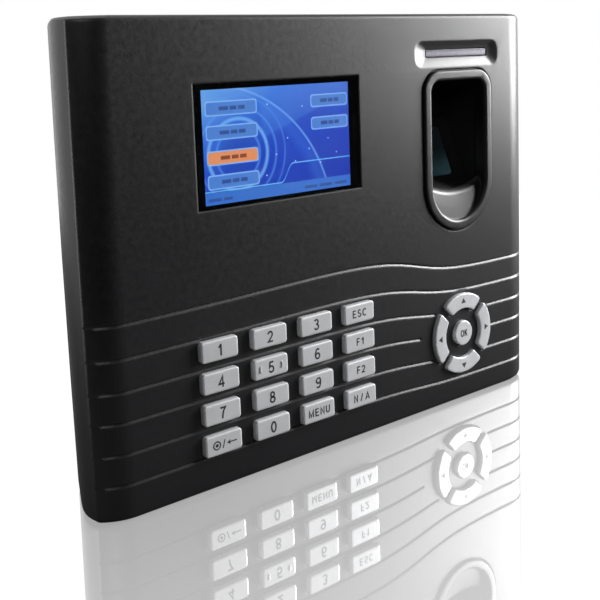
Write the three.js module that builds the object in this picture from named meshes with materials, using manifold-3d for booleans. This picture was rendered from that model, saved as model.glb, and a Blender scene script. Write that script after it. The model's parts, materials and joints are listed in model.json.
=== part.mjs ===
// Fingerprint scanner terminal: a wall-mounted housing with a keypad, a display and a finger well.
// Millimetres, +Z up. The wall is the plane y = 0 and the front faces -Y. X runs to the right
// as the user sees it. The origin is on the wall plate's back face, at the housing's mid height.

import * as THREE from 'three';
import { mergeVertices } from 'three/addons/utils/BufferGeometryUtils.js';
import Module from 'manifold-3d';

const wasm = await Module();
wasm.setup();

// ---------------------------------------------------------------- driving dimensions

const GAP = 0.3;

// Housing
const DEPTH = 38;
const PLATE_THICKNESS = 1.6;
const CASE_BACK = 2;
const HALF_HEIGHT = 77.75;
const FOOT_HEIGHT = 78.9;
const FLAT_HALF_WIDTH = 90;
const SHOULDER_RADIUS = 16.7;
const SHOULDER_TURN = THREE.MathUtils.degToRad(42);
const CREASE_RADIUS = 1.3;
const CREASE_TURN = THREE.MathUtils.degToRad(80);
const WIDEST = 102.2;
const WIDEST_DEPTH = 9.5;
const WALL = 2.5;
const SIDE_BOW = 0.5;
const TOP_CROWN = 0.7;
const TOP_ROUND = 2;
const BOTTOM_ROUND = 2.4;
const PARTING_Y = -12;

// Keypad
const KEY_COLUMNS = [-57.7, -37.4, -17.1, 3.2];
const KEY_ROWS = [-30.9, -41.55, -52.2, -62.85];
const KEY_NAMES = [
  ['key_1', 'key_2', 'key_3', 'key_esc'],
  ['key_4', 'key_5', 'key_6', 'key_f1'],
  ['key_7', 'key_8', 'key_9', 'key_f2'],
  ['key_power', 'key_0', 'key_menu', 'key_na'],
];
const KEY_WIDTH = 14.4;
const KEY_HEIGHT = 7.1;
const KEY_CORNER = 1.2;
const KEY_PROUD = 1.8;
const KEY_FLANGE = 1;

// Navigation buttons
const NAV_X = 59.4;
const NAV_Z = -50.6;
const NAV_NAMES = ['nav_right', 'nav_up', 'nav_left', 'nav_down'];
const NAV_OUTER = 16.4;
const NAV_INNER = 10.2;
const NAV_SPACE = 3;
const NAV_CORNER = 1.5;
const OK_RADIUS = 5.1;
const NAV_PROUD = 1.5;

// Display
const WINDOW = { x0: -62.2, x1: 7.4, z0: 14.9, z1: 55.7 };
const LIT = { x0: -58, x1: 3.4, z0: 16.2, z1: 53.6 };
const LENS_THICKNESS = 1.2;

// Finger well: a raised ring with a finger rest moulded across its lower end, and a deep pocket behind
const WELL_X = 59.2;
const WELL_TOP = 55.8;
const WELL_BOTTOM = -8.2;
const WELL_WIDTH = 39;
const WELL_TOP_RADIUS = 8.4;
const BEZEL_PROUD = 1;
const BEZEL_EDGE = 0.5;
const BEZEL_WALL = 4.2;
const NECK_INSET = 2;
const COUNTERBORE = 1.2;
const REST_LOW_Y = -37.6;
const REST_LIP_Y = -36;
const REST_BACK_Y = -33.6;
const LIP_LOWEST = 6.4;
const LIP_RISE = 3.2;
const LIP_CHAMFER = 2;
const GUIDE_WALL = 1.8;
const GUIDE_FRONT = -32.7;
const POCKET_START = 8;
const SENSOR_BOTTOM = 11;
const SENSOR_TOP = 34;
const POCKET_SILL_Y = -31.4;
const SENSOR_BOTTOM_Y = -26.5;
const SENSOR_TOP_Y = -17.5;
const ROOF_Y = -15;
const SENSOR_WIDTH = 19;
const SENSOR_LENGTH = 21;

// Indicator
const RECESS = { x: 59.4, z: 61.85, width: 47.8, height: 10.6 };
const STRIP = { x: 60.3, z: 62.15, width: 34.4, height: 2.6 };
const RECESS_DEPTH = 1.4;
const RECESS_CORNER = 4;

// Decorative grooves across the lower front, each with its height at the left and the right edge
const GROOVES = [
  { left: -15.75, right: -23.7 },
  { left: -26.5, right: -33 },
  { left: -36.9, right: -41.9 },
  { left: -46.7, right: -50.8 },
  { left: -56.8, right: -59.9 },
  { left: -66.7, right: -69 },
];
const GROOVE_DEPTH = 0.5;
const GROOVE_TOP = 0.3;
const GROOVE_FOOT = 0.85;
const SWELL_X = -2;
const SWELL_LENGTH = 45;
const SWELL_SHARE = 0.19;
const FALL_X = 36;
const FALL_LENGTH = 9;
const NAV_ISLAND = 17.9;
const NAV_FADE = 5;

// Cable bay in the back, open downwards
const BAY_HALF_WIDTH = 50;
const BAY_TOP = -25;
const BAY_FLOOR = -17;

// Wall plate
const PLATE_HALF_WIDTH = 92.2;
const PLATE_TOP = 70;
const PLATE_BOTTOM = -50.8;
const PLATE_FOOT = -68.4;
const PLATE_FOOT_WIDTH = 14;
const PLATE_NICK = { z0: -42.7, z1: -39.6 };
const CABLE_OPENING = { halfWidth: 28, z0: -43.5, z1: -28 };
const PLATE_HOLES = [[-60, 52], [60, 52], [-60, -34], [60, -34]];
const HOOK_X = 40;
const HOOK_WIDTH = 12;
const HOOK_Z = 60;

// Boards
const BOARD_THICKNESS = 1.6;
const MAIN_BOARD_FRONT = -19;
const KEYPAD_BOARD_FRONT = -31.5;

// Screws
const CASE_SCREWS = [[-84, 68], [84, 68], [-84, -68], [84, -68]];
const BOARD_SCREWS = [[-84, 58], [32, 58], [-84, -16], [32, 4]];

const FRONT = -DEPTH;
const INNER_FRONT = FRONT + WALL;
const MAIN_BOARD_BACK = MAIN_BOARD_FRONT + BOARD_THICKNESS;

// ---------------------------------------------------------------- solids

function solidOf(geometry) {
  const bare = geometry.clone();
  bare.deleteAttribute('normal');
  bare.deleteAttribute('uv');
  const merged = mergeVertices(bare, 1e-4);
  const mesh = new wasm.Mesh({
    numProp: 3,
    vertProperties: Float32Array.from(merged.attributes.position.array),
    triVerts: Uint32Array.from(merged.index.array),
  });
  return new wasm.Manifold(mesh);
}

function geometryOf(solid) {
  const mesh = solid.getMesh();
  const geometry = new THREE.BufferGeometry();
  geometry.setAttribute('position', new THREE.BufferAttribute(mesh.vertProperties, 3));
  geometry.setIndex(new THREE.BufferAttribute(mesh.triVerts, 1));
  geometry.computeVertexNormals();
  return geometry;
}

function joined(...geometries) {
  return geometryOf(geometries.map(solidOf).reduce((sum, next) => sum.add(next)));
}

function without(geometry, ...cutters) {
  const whole = solidOf(geometry);
  return geometryOf(cutters.map(solidOf).reduce((rest, cutter) => rest.subtract(cutter), whole));
}

function common(geometry, other) {
  return geometryOf(solidOf(geometry).intersect(solidOf(other)));
}

function box(x0, x1, y0, y1, z0, z1) {
  const geometry = new THREE.BoxGeometry(x1 - x0, y1 - y0, z1 - z0);
  return geometry.translate((x0 + x1) / 2, (y0 + y1) / 2, (z0 + z1) / 2);
}

function cylinderAlongY(radius, y0, y1, x, z, segments = 16) {
  const geometry = new THREE.CylinderGeometry(radius, radius, y1 - y0, segments);
  return geometry.translate(x, (y0 + y1) / 2, z);
}

function cylinderAlongZ(radius, z0, z1, x, y, segments = 16) {
  const geometry = new THREE.CylinderGeometry(radius, radius, z1 - z0, segments);
  return geometry.rotateX(Math.PI / 2).translate(x, y, (z0 + z1) / 2);
}

// Triangles over an outline, each turning the same way round as the outline.
function cap(outline) {
  const faces = THREE.ShapeUtils.triangulateShape(outline, []);
  return THREE.ShapeUtils.isClockWise(outline) ? faces.map(([a, b, c]) => [b, a, c]) : faces;
}

// A closed skin over a row of rings with equal point counts, capped flat at both ends.
function loft(rings, flatten) {
  const count = rings[0].length;
  const points = rings.flat();
  const faces = [];
  for (let ring = 0; ring + 1 < rings.length; ring += 1) {
    for (let i = 0; i < count; i += 1) {
      const a = ring * count + i;
      const b = ring * count + ((i + 1) % count);
      faces.push([a, b, b + count], [a, b + count, a + count]);
    }
  }
  const last = (rings.length - 1) * count;
  for (const [a, b, c] of cap(rings[0].map(flatten))) {
    faces.push([b, a, c]);
  }
  for (const [a, b, c] of cap(rings.at(-1).map(flatten))) {
    faces.push([last + a, last + b, last + c]);
  }
  return closedSkin(points, faces);
}

// Faces are turned together so that they point out.
function closedSkin(points, faces) {
  let volume = 0;
  for (const [a, b, c] of faces) {
    volume += points[a].dot(new THREE.Vector3().crossVectors(points[b], points[c]));
  }
  const geometry = new THREE.BufferGeometry();
  const places = points.flatMap((p) => p.toArray());
  geometry.setAttribute('position', new THREE.Float32BufferAttribute(places, 3));
  geometry.setIndex((volume > 0 ? faces : faces.map(([a, b, c]) => [b, a, c])).flat());
  return geometry;
}

const alongY = (p) => new THREE.Vector2(p.x, p.z);
const alongZ = (p) => new THREE.Vector2(p.x, p.y);
const alongX = (p) => new THREE.Vector2(p.y, p.z);

// Rings of one outline at several depths: each level is [y, inset].
function stacked(outline, levels) {
  const ring = ([y, inset]) => outline(inset).map(([x, z]) => new THREE.Vector3(x, y, z));
  return loft(levels.map(ring), alongY);
}

function arc(cx, cz, radius, from, to, segments) {
  const points = [];
  for (let i = 0; i <= segments; i += 1) {
    const angle = from + ((to - from) * i) / segments;
    points.push([cx + radius * Math.cos(angle), cz + radius * Math.sin(angle)]);
  }
  return points;
}

function roundedRectangle(width, height, radius, segments = 2, cx = 0, cz = 0) {
  return (inset = 0) => {
    const r = Math.max(radius - inset, 0.2);
    const x = width / 2 - inset - r;
    const z = height / 2 - inset - r;
    const quarter = Math.PI / 2;
    return [
      ...arc(cx + x, cz + z, r, 0, quarter, segments),
      ...arc(cx - x, cz + z, r, quarter, 2 * quarter, segments),
      ...arc(cx - x, cz - z, r, 2 * quarter, 3 * quarter, segments),
      ...arc(cx + x, cz - z, r, 3 * quarter, 4 * quarter, segments),
    ];
  };
}

// ---------------------------------------------------------------- housing

function shoulderDepth(x) {
  const beyond = Math.max(Math.abs(x) - FLAT_HALF_WIDTH, 0);
  return SHOULDER_RADIUS - Math.sqrt(Math.max(SHOULDER_RADIUS ** 2 - beyond ** 2, 0));
}

// Half of the horizontal section, from the middle of the front to the edge of the back: [x, depth].
function halfSection() {
  const crease = FLAT_HALF_WIDTH + SHOULDER_RADIUS * Math.sin(SHOULDER_TURN);
  const points = [];
  for (let i = 0; i <= 8; i += 1) {
    const x = FLAT_HALF_WIDTH + SHOULDER_RADIUS * Math.sin((SHOULDER_TURN * i) / 8);
    points.push([x, shoulderDepth(x)]);
  }
  for (let i = 1; i <= 3; i += 1) {
    const angle = SHOULDER_TURN + ((CREASE_TURN - SHOULDER_TURN) * i) / 3;
    points.push([
      crease + CREASE_RADIUS * (Math.sin(angle) - Math.sin(SHOULDER_TURN)),
      shoulderDepth(crease) + CREASE_RADIUS * (Math.cos(SHOULDER_TURN) - Math.cos(angle)),
    ]);
  }
  points.push([WIDEST - 0.2, 7.2]);
  const bend = 20;
  for (let i = 0; i <= 3; i += 1) {
    const angle = (THREE.MathUtils.degToRad(22.8) * i) / 3;
    points.push([WIDEST - bend * (1 - Math.cos(angle)), WIDEST_DEPTH + bend * Math.sin(angle)]);
  }
  points.push([94.2, 33.4]);
  points.push([93.2, 35.3]);
  points.push([91.6, DEPTH - CASE_BACK]);
  return points;
}

function housingRing(z, inset) {
  const right = halfSection();
  const left = right.map(([x, d]) => [-x, d]).reverse();
  const bow = SIDE_BOW * (1 - (z / HALF_HEIGHT) ** 2);
  const lift = Math.max(z / HALF_HEIGHT, 0);
  const back = DEPTH - CASE_BACK;
  return [...right, ...left].map(([x, d]) => {
    const wide = x * (1 + (bow - inset) / WIDEST);
    const deep = inset + d * (1 - inset / back);
    return new THREE.Vector3(wide, FRONT + deep, z - TOP_CROWN * lift * (x / WIDEST) ** 2);
  });
}

function roundLevels(end, radius, direction) {
  const levels = [];
  for (let i = 0; i <= 3; i += 1) {
    const angle = (Math.PI / 6) * i;
    levels.push([end - direction * radius * (1 - Math.cos(angle)), radius * (1 - Math.sin(angle))]);
  }
  return levels;
}

function housingBlock() {
  const levels = [
    ...roundLevels(-FOOT_HEIGHT, BOTTOM_ROUND, -1),
    [-40, 0], [0, 0], [40, 0],
    ...roundLevels(HALF_HEIGHT, TOP_ROUND, 1).reverse(),
  ];
  return loft(levels.map(([z, inset]) => housingRing(z, inset)), alongZ);
}

function housingHollow() {
  const top = HALF_HEIGHT - WALL;
  const levels = [-top, -40, 40, top];
  const shrink = (WIDEST - WALL) / WIDEST;
  const room = (DEPTH - CASE_BACK - 2 * WALL) / (DEPTH - CASE_BACK);
  const rings = levels.map((z) => housingRing(z, 0).map((p) => {
    const y = INNER_FRONT + (p.y - FRONT) * room;
    return new THREE.Vector3(p.x * shrink, y, p.z);
  }));
  return loft(rings, alongZ);
}

function grooveHeight(groove, x) {
  const drop = groove.left - groove.right;
  const swell = drop * SWELL_SHARE * Math.exp(-(((x - SWELL_X) / SWELL_LENGTH) ** 2));
  const fall = drop / (1 + Math.exp(-(x - FALL_X) / FALL_LENGTH));
  return groove.left + swell - fall;
}

function grooveStations() {
  const shoulder = [90, 92.5, 95, 97.2, 99.2, 101.2, 102.6];
  const stations = [...shoulder.map((x) => -x).reverse(), -70, -50, -30, -16, -6];
  for (let x = 2; x <= 74; x += 6) {
    stations.push(x);
  }
  return [...stations, 82, ...shoulder];
}

// A rod that follows the front surface: it cuts a steep upper wall and a long slope up to its foot.
function grooveCutter(groove) {
  const crease = FLAT_HALF_WIDTH + SHOULDER_RADIUS * Math.sin(SHOULDER_TURN);
  const rings = grooveStations().map((x) => {
    const surface = FRONT + shoulderDepth(Math.min(Math.abs(x), crease));
    const z = grooveHeight(groove, x);
    const wide = x * (1 + (SIDE_BOW * (1 - (z / HALF_HEIGHT) ** 2)) / WIDEST);
    const out = 0.9;
    const slope = (GROOVE_FOOT / GROOVE_DEPTH) * out;
    return [
      new THREE.Vector3(wide, surface - out, z + GROOVE_TOP + 0.15),
      new THREE.Vector3(wide, surface + GROOVE_DEPTH, z + GROOVE_TOP - 0.1),
      new THREE.Vector3(wide, surface + GROOVE_DEPTH, z + GROOVE_TOP - 0.3),
      new THREE.Vector3(wide, surface - out, z + GROOVE_TOP - 0.3 - GROOVE_FOOT - slope),
    ];
  });
  return loft(rings, alongX);
}

// Grooves stop at the navigation ring; the fourth fades sooner, and the last passes below the ring.
function grooveCutters() {
  const island = cylinderAlongY(NAV_ISLAND, FRONT - 3, INNER_FRONT + 2, NAV_X, NAV_Z, 40);
  const fade = box(NAV_X - NAV_ISLAND - NAV_FADE, NAV_X, FRONT - 3, INNER_FRONT + 2, NAV_Z - 12, NAV_Z + 12);
  return GROOVES.map((groove, i) => {
    if (i === GROOVES.length - 1) {
      return grooveCutter(groove);
    }
    return i === 3 ? without(grooveCutter(groove), island, fade) : without(grooveCutter(groove), island);
  });
}

function keyHoles() {
  const holes = [];
  for (const x of KEY_COLUMNS) {
    for (const z of KEY_ROWS) {
      const outline = roundedRectangle(KEY_WIDTH + 2 * GAP, KEY_HEIGHT + 2 * GAP, KEY_CORNER + GAP, 3, x, z);
      holes.push(stacked(outline, [[FRONT - 1, 0], [INNER_FRONT + 1, 0]]));
    }
  }
  return holes;
}

function navHoles() {
  const holes = NAV_NAMES.map((name, i) => {
    const placed = ([x, z]) => [x + NAV_X, z + NAV_Z];
    const outline = (inset) => arcOutline(inset).map(([x, z]) => placed(turned(x, z, i)));
    return stacked(outline, [[FRONT - 1, -GAP], [INNER_FRONT + 1, -GAP]]);
  });
  holes.push(cylinderAlongY(OK_RADIUS + GAP, FRONT - 1, INNER_FRONT + 1, NAV_X, NAV_Z, 20));
  return holes;
}

function recessCutter() {
  const mouth = roundedRectangle(RECESS.width, RECESS.height, RECESS_CORNER, 5, RECESS.x, RECESS.z)(0);
  const foot = roundedRectangle(STRIP.width + 2 * GAP, STRIP.height + 2 * GAP, 0.8, 5, STRIP.x, STRIP.z)(0);
  const mix = (t, y) => mouth.map(([x, z], i) => new THREE.Vector3(x + (foot[i][0] - x) * t, y,
    z + (foot[i][1] - z) * t));
  return loft([
    mix(-0.08, FRONT - 1),
    mix(0, FRONT),
    mix(0.12, FRONT + RECESS_DEPTH * 0.06),
    mix(0.45, FRONT + RECESS_DEPTH * 0.55),
    mix(0.8, FRONT + RECESS_DEPTH * 0.92),
    mix(1, FRONT + RECESS_DEPTH),
    mix(1, INNER_FRONT + 4),
  ], alongY);
}

function caseBosses() {
  return CASE_SCREWS.map(([x, z]) => cylinderAlongY(3.4, INNER_FRONT - 0.5, PARTING_Y - 1, x, z, 12));
}

function caseBossBores() {
  return CASE_SCREWS.map(([x, z]) => cylinderAlongY(1.6, INNER_FRONT + 6, PARTING_Y + 1, x, z, 10));
}

function frontCover() {
  const half = box(-150, 150, -60, PARTING_Y - GAP / 2, -100, 100);
  const shell = without(common(housingBlock(), half), housingHollow());
  const pad = box(RECESS.x - 27, RECESS.x + 23, INNER_FRONT - 0.5, INNER_FRONT + 1, 57.4, 69);
  const seat = FRONT + COUNTERBORE;
  const neck = stacked(wellOutline(), [[FRONT - 1, -0.6], [FRONT, -0.35], [FRONT + 0.35, -0.1], [seat, -0.1],
    [seat, NECK_INSET - GAP], [INNER_FRONT + 4, NECK_INSET - GAP]]);
  const grown = joined(shell, pad, ...caseBosses());
  const window = rectangleCutter(WINDOW, FRONT - 1, FRONT + LENS_THICKNESS + 0.4);
  const frame = rectangleCutter(LIT, FRONT - 1, INNER_FRONT + 1);
  const bayEdge = BAY_HALF_WIDTH + WALL + GAP;
  const bayNotch = box(-bayEdge, bayEdge, BAY_FLOOR - WALL - GAP, 0, -100, -70);
  return without(grown, ...caseBossBores(), neck, window, frame, recessCutter(), bayNotch, ...keyHoles(),
    ...navHoles(), ...grooveCutters());
}

function rectangleCutter(area, y0, y1) {
  return box(area.x0, area.x1, y0, y1, area.z0, area.z1);
}

function rearCase() {
  const half = box(-150, 150, PARTING_Y + GAP / 2, 10, -100, 100);
  const shell = without(common(housingBlock(), half), housingHollow());
  const back = -CASE_BACK;
  const bayOuter = BAY_HALF_WIDTH + WALL;
  const bayBlock = box(-bayOuter, bayOuter, BAY_FLOOR - WALL, back - 1, -100, BAY_TOP + WALL);
  const bay = common(bayBlock, housingBlock());
  const bayRoom = box(-BAY_HALF_WIDTH, BAY_HALF_WIDTH, BAY_FLOOR, 5, -100, BAY_TOP);
  const lockBlock = box(-9, 9, BAY_FLOOR - 0.5, -8, -48.8, -40.5);
  const posts = BOARD_SCREWS.map(([x, z]) => cylinderAlongY(3, MAIN_BOARD_BACK + GAP, back - 1, x, z, 10));
  const collars = CASE_SCREWS.map(([x, z]) => cylinderAlongY(4.2, PARTING_Y - 0.5, back - 1, x, z, 12));
  const whole = joined(without(joined(shell, bay), bayRoom), lockBlock, ...posts, ...collars);
  const bores = CASE_SCREWS.flatMap(([x, z]) => [
    cylinderAlongY(1.8, PARTING_Y - 2, 1, x, z, 10),
    cylinderAlongY(3.2, -5, 1, x, z, 14),
  ]);
  const postBores = BOARD_SCREWS.map(([x, z]) => cylinderAlongY(1.5, MAIN_BOARD_BACK - 1, -6, x, z, 10));
  const lockBore = cylinderAlongZ(1.5, -50, -42, 0, -12, 10);
  const slotTop = HOOK_Z + PLATE_THICKNESS + GAP;
  const hookSlot = (x, half) => box(x - half, x + half, -CASE_BACK - WALL - 0.5, 1, 55.2, slotTop);
  const hookSlots = [-1, 1].map((side) => hookSlot(side * HOOK_X, HOOK_WIDTH / 2 + 1));
  const portTop = BAY_TOP + WALL + 1;
  const portHole = (x, half, back) => box(x - half, x + half, MAIN_BOARD_BACK, back, BAY_TOP - 1, portTop);
  const ports = PORTS.map((port) => portHole(port.x, port.width / 2 + GAP, port.y1 + GAP));
  const soundSlots = [0, 1, 2, 3, 4].map((i) => box(SPEAKER.x - 8 + 4 * i - 0.9, SPEAKER.x - 8 + 4 * i + 0.9,
    -6, 1, SPEAKER.z - 6.5, SPEAKER.z + 6.5));
  const ventSlots = [0, 1, 2, 3, 4, 5].map((i) => box(-77 + 4 * i - 0.9, -77 + 4 * i + 0.9, -6, 1, -71, -57));
  const tamperHole = cylinderAlongY(1.9, -6, 1, TAMPER.x, TAMPER.z, 12);
  return without(whole, ...bores, ...postBores, lockBore, ...hookSlots, ...ports, ...soundSlots, ...ventSlots,
    tamperHole);
}

// ---------------------------------------------------------------- wall plate

function wallPlate() {
  const height = PLATE_TOP - PLATE_FOOT;
  const middle = (PLATE_TOP + PLATE_FOOT) / 2;
  const outline = roundedRectangle(2 * PLATE_HALF_WIDTH, height, 3, 3, 0, middle);
  const footInner = PLATE_HALF_WIDTH - PLATE_FOOT_WIDTH;
  const sheet = stacked(outline, [[-PLATE_THICKNESS, 0], [0, 0]]);
  const hooks = [-1, 1].flatMap((side) => {
    const x0 = side * HOOK_X - HOOK_WIDTH / 2;
    const x1 = side * HOOK_X + HOOK_WIDTH / 2;
    const inner = -CASE_BACK - WALL - GAP;
    const top = HOOK_Z + PLATE_THICKNESS;
    return [
      box(x0, x1, inner - 1.4, -PLATE_THICKNESS / 2, HOOK_Z, top),
      box(x0, x1, inner - 1.4, inner, HOOK_Z, top + 3.6),
    ];
  });
  const lockTab = box(-8, 8, -15.6, -PLATE_THICKNESS / 2, PLATE_BOTTOM, PLATE_BOTTOM + PLATE_THICKNESS);
  const { halfWidth, z0, z1 } = CABLE_OPENING;
  const opening = roundedRectangle(2 * halfWidth, z1 - z0, 3, 3, 0, (z0 + z1) / 2);
  const cutters = [
    stacked(opening, [[-5, 0], [5, 0]]),
    cylinderAlongZ(1.8, PLATE_BOTTOM - 1, PLATE_BOTTOM + 3, 0, -12, 12),
    ...PLATE_HOLES.map(([x, z]) => cylinderAlongY(4.2, -5, 5, x, z, 16)),
    ...PLATE_HOLES.map(([x, z]) => box(x - 2.2, x + 2.2, -5, 5, z, z + 9)),
    ...PLATE_HOLES.map(([x, z]) => cylinderAlongY(2.2, -5, 5, x, z + 9, 12)),
    ...[-1, 1].map((side) => box(side * HOOK_X - HOOK_WIDTH / 2, side * HOOK_X + HOOK_WIDTH / 2, -1.9, 5,
      HOOK_Z + PLATE_THICKNESS + GAP, HOOK_Z + 7)),
    ...[-1, 1].map((side) => box(side * PLATE_HALF_WIDTH - 2.5, side * PLATE_HALF_WIDTH + 2.5, -5, 5,
      PLATE_NICK.z0, PLATE_NICK.z1)),
  ];
  const cutSheet = without(sheet, box(-footInner, footInner, -5, 5, PLATE_FOOT - 5, PLATE_BOTTOM));
  return without(joined(cutSheet, ...hooks, lockTab), ...cutters);
}

// ---------------------------------------------------------------- keys and buttons

// A cap with a rounded front edge and a flange that holds it behind the cover.
function capLevels(proud) {
  return [
    [proud + WALL + 1.1, -KEY_FLANGE + 0.2],
    [proud + WALL + GAP, -KEY_FLANGE + 0.2],
    [proud + WALL + GAP, 0],
    [0.55, 0],
    [0.16, 0.16],
    [0, 0.55],
  ];
}

function keyCap() {
  return stacked(roundedRectangle(KEY_WIDTH, KEY_HEIGHT, KEY_CORNER, 3), capLevels(KEY_PROUD));
}

// Points round a corner from a to b, on a smooth bend that aims at the corner point.
function bend(a, corner, b, steps = 3) {
  const points = [];
  for (let i = 1; i < steps; i += 1) {
    const t = i / steps;
    points.push([0, 1].map((k) => (1 - t) ** 2 * a[k] + 2 * t * (1 - t) * corner[k] + t ** 2 * b[k]));
  }
  return points;
}

// The arc button that lies on the +X side of the navigation ring.
function arcOutline(inset) {
  const outer = NAV_OUTER - inset;
  const inner = NAV_INNER + inset;
  const offset = NAV_SPACE / 2 + inset;
  const wideStart = (radius) => Math.PI / 4 - Math.asin(offset / radius);
  const onEdge = (reach, side) => {
    const c = Math.SQRT1_2;
    return [(reach + offset) * c, side * (reach - offset) * c];
  };
  const reachOuter = Math.sqrt(outer ** 2 - offset ** 2);
  const reachInner = Math.sqrt(inner ** 2 - offset ** 2);
  const outerTurn = wideStart(outer) - NAV_CORNER / outer;
  const innerTurn = wideStart(inner) - (NAV_CORNER * 0.6) / inner;
  const outerArc = arc(0, 0, outer, -outerTurn, outerTurn, 10);
  const innerArc = arc(0, 0, inner, innerTurn, -innerTurn, 6);
  const edgeOuter = [1, -1].map((side) => onEdge(reachOuter - NAV_CORNER, side));
  const edgeInner = [1, -1].map((side) => onEdge(reachInner + NAV_CORNER * 0.6, side));
  return [
    ...outerArc,
    ...bend(outerArc.at(-1), onEdge(reachOuter, 1), edgeOuter[0]),
    edgeOuter[0],
    edgeInner[0],
    ...bend(edgeInner[0], onEdge(reachInner, 1), innerArc[0]),
    ...innerArc,
    ...bend(innerArc.at(-1), onEdge(reachInner, -1), edgeInner[1]),
    edgeInner[1],
    edgeOuter[1],
    ...bend(edgeOuter[1], onEdge(reachOuter, -1), outerArc[0]),
  ];
}

function turned(x, z, quarters) {
  const angle = (Math.PI / 2) * quarters;
  return [x * Math.cos(angle) - z * Math.sin(angle), x * Math.sin(angle) + z * Math.cos(angle)];
}

function navButton(quarters) {
  const outline = (inset) => arcOutline(inset).map(([x, z]) => turned(x, z, quarters));
  return stacked(outline, capLevels(NAV_PROUD));
}

function okButton() {
  const outline = (inset) => arc(0, 0, OK_RADIUS - inset, 0, 2 * Math.PI, 20).slice(0, -1);
  return stacked(outline, capLevels(NAV_PROUD));
}

// A rubber sheet with one low dome behind each key.
function domeMat(x0, x1, z0, z1, domes) {
  const back = KEYPAD_BOARD_FRONT - GAP;
  const sheetFront = back - 0.8;
  const sheet = box(x0, x1, sheetFront, back, z0, z1);
  const bumps = domes.map(([x, z]) => {
    const outline = (inset) => arc(x, z, 2.6 - inset, 0, 2 * Math.PI, 6).slice(0, -1);
    return stacked(outline, [[sheetFront + 0.3, 0], [sheetFront - 0.5, 0.7]]);
  });
  return joined(sheet, ...bumps);
}

// ---------------------------------------------------------------- finger well

function wellOutline(extra = 0) {
  return (inset) => {
    const total = inset + extra;
    const half = WELL_WIDTH / 2 - total;
    const corner = WELL_TOP_RADIUS - total * 0.9;
    const top = WELL_TOP - total - corner;
    const base = WELL_BOTTOM + WELL_WIDTH / 2;
    return [
      ...arc(WELL_X, base, half, Math.PI, 2 * Math.PI, 22),
      ...arc(WELL_X + half - corner, top, corner, 0, Math.PI / 2, 7),
      ...arc(WELL_X - half + corner, top, corner, Math.PI / 2, Math.PI, 7),
    ];
  };
}

// Height of the lip's lower edge, an arc that rises towards both sides.
function lipHeight(x) {
  return LIP_LOWEST + LIP_RISE * ((x - WELL_X) / 14) ** 2;
}

// The finger rest: a plate that closes the ring's lower end, with a sloped lip along its upper edge.
function fingerRest() {
  const columns = 12;
  const reach = 15.6;
  const base = WELL_BOTTOM + BEZEL_WALL - 1;
  const rings = [];
  for (let i = 0; i <= columns; i += 1) {
    const x = WELL_X - reach + (2 * reach * i) / columns;
    const lip = lipHeight(x);
    rings.push([
      new THREE.Vector3(x, REST_LOW_Y, base),
      new THREE.Vector3(x, REST_LIP_Y - 0.1, lip - 0.7),
      new THREE.Vector3(x, REST_LIP_Y + 0.2, lip),
      new THREE.Vector3(x, REST_LIP_Y + 1.2, lip + 1),
      new THREE.Vector3(x, REST_BACK_Y - 0.3, lip + LIP_CHAMFER - 0.3),
      new THREE.Vector3(x, REST_BACK_Y, lip + LIP_CHAMFER - 0.4),
      new THREE.Vector3(x, REST_BACK_Y, base),
    ]);
  }
  const plate = loft(rings, alongX);
  return common(plate, stacked(wellOutline(BEZEL_WALL - 0.3), [[-50, 0], [-20, 0]]));
}

function fingerprintBezel() {
  const crest = FRONT - BEZEL_PROUD;
  const seat = FRONT + COUNTERBORE - GAP;
  const body = stacked(wellOutline(), [
    [REST_BACK_Y + 0.4, NECK_INSET],
    [seat, NECK_INSET],
    [seat, BEZEL_EDGE],
    [crest + 0.5, BEZEL_EDGE],
    [crest + 0.15, BEZEL_EDGE + 0.15],
    [crest, BEZEL_EDGE + 0.5],
  ]);
  const mouth = stacked(wellOutline(), [
    [INNER_FRONT + 5, BEZEL_WALL],
    [crest + 0.9, BEZEL_WALL],
    [crest + 0.3, BEZEL_WALL - 0.3],
    [crest, BEZEL_WALL - 0.9],
    [crest - 1, BEZEL_WALL - 1.2],
  ]);
  return joined(without(body, mouth), fingerRest());
}

// Depth of the pocket's back: a sill behind the finger rest, the sensor's slope, then the roof.
function guideSurface(z) {
  if (z <= POCKET_START) {
    return POCKET_SILL_Y;
  }
  if (z <= SENSOR_BOTTOM) {
    return SENSOR_BOTTOM_Y;
  }
  return z <= SENSOR_TOP ? SENSOR_TOP_Y : ROOF_Y;
}

// A closed block from the plane y = front back to the pocket's surface, moved back by extra.
function guideBlock(front, extra) {
  const half = WELL_WIDTH / 2;
  const heights = [-9, POCKET_START, SENSOR_BOTTOM, SENSOR_TOP, SENSOR_TOP + 3, 58];
  const back = heights.map((z) => [guideSurface(z) + extra, z]);
  const outline = [[front, -9], ...back, [front, 58]];
  return loft([WELL_X - half, WELL_X + half].map((x) => outline.map(([y, z]) => new THREE.Vector3(x, y, z))),
    alongX);
}

const SENSOR_TILT = Math.atan2(SENSOR_TOP_Y - SENSOR_BOTTOM_Y, SENSOR_TOP - SENSOR_BOTTOM);
const SENSOR_CENTRE = new THREE.Vector3(WELL_X, (SENSOR_TOP_Y + SENSOR_BOTTOM_Y) / 2,
  (SENSOR_TOP + SENSOR_BOTTOM) / 2);

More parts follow.
